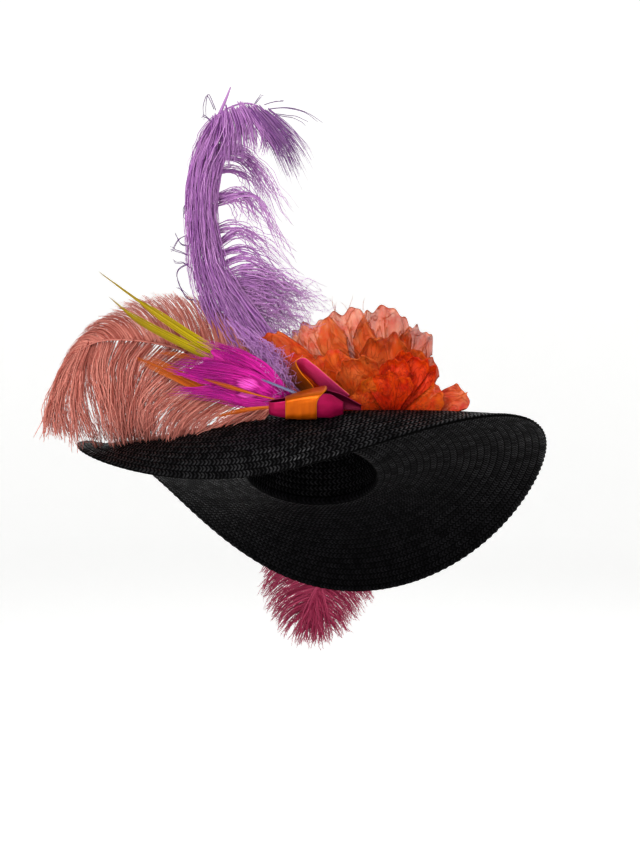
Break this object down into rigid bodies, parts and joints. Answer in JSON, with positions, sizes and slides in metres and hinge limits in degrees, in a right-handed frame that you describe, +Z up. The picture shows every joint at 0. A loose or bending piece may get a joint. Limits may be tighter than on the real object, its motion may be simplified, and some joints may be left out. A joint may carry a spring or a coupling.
{
  "type": "wide-brimmed straw picture hat with plumes, bow and flower",
  "caption": "Black straw picture hat with a wide wavy brim, ostrich plumes, a dyed peacock feather, a satin bow and an organza flower.",
  "frame": {"origin": "middle of the oval head opening, where the crown meets the brim", "axes": "+X to the wearer's left, -Y to the front, +Z up; the hat leans back, as it is worn on a head"},
  "size_m": [0.5995, 0.4875, 0.714],
  "materials": {
    "straw": "sewn straw braid dyed black, semi-matt",
    "orange_satin": "orange satin, glossy along the ribbon",
    "pink_satin": "raspberry pink satin, glossy along the ribbon",
    "bloom": "red-orange organza, fine and sheer",
    "organza": "rust-orange organza, sheer with darker hems",
    "orange_feather": "dyed feather, orange",
    "periwinkle_feather": "dyed feather, periwinkle",
    "magenta_feather": "dyed peacock feather, magenta",
    "yellow_feather": "dyed feather, yellow",
    "salmon_ostrich": "dyed ostrich feather, salmon",
    "lavender_ostrich": "dyed ostrich feather, lavender",
    "raspberry_ostrich": "dyed ostrich feather, raspberry"
  },
  "bodies": {
    "root": {"straw_crown": "straw", "straw_brim": "straw", "bow_knot": "orange_satin", "bow_ribbon": "pink_satin", "bow_loop": "orange_satin", "flower_bloom": "bloom", "petal_low_left": "organza", "petal_low_right": "organza", "petal_centre": "organza", "petal_inner_left": "organza", "petal_side": "organza", "petal_right": "organza", "petal_middle": "organza", "petal_left": "organza", "petal_upper_right": "organza", "petal_upper_left": "organza", "petal_top": "organza", "petal_top_left": "organza", "orange_feather_front": "orange_feather", "quill_stem": "periwinkle_feather", "peacock_feather": "magenta_feather", "orange_feather_long": "orange_feather", "orange_feather_short": "orange_feather", "orange_feather_low": "orange_feather", "yellow_feather_upper": "yellow_feather", "yellow_feather_lower": "yellow_feather", "salmon_plume": "salmon_ostrich", "lavender_plume": "lavender_ostrich", "raspberry_plume": "raspberry_ostrich"}
  },
  "joints": []
}
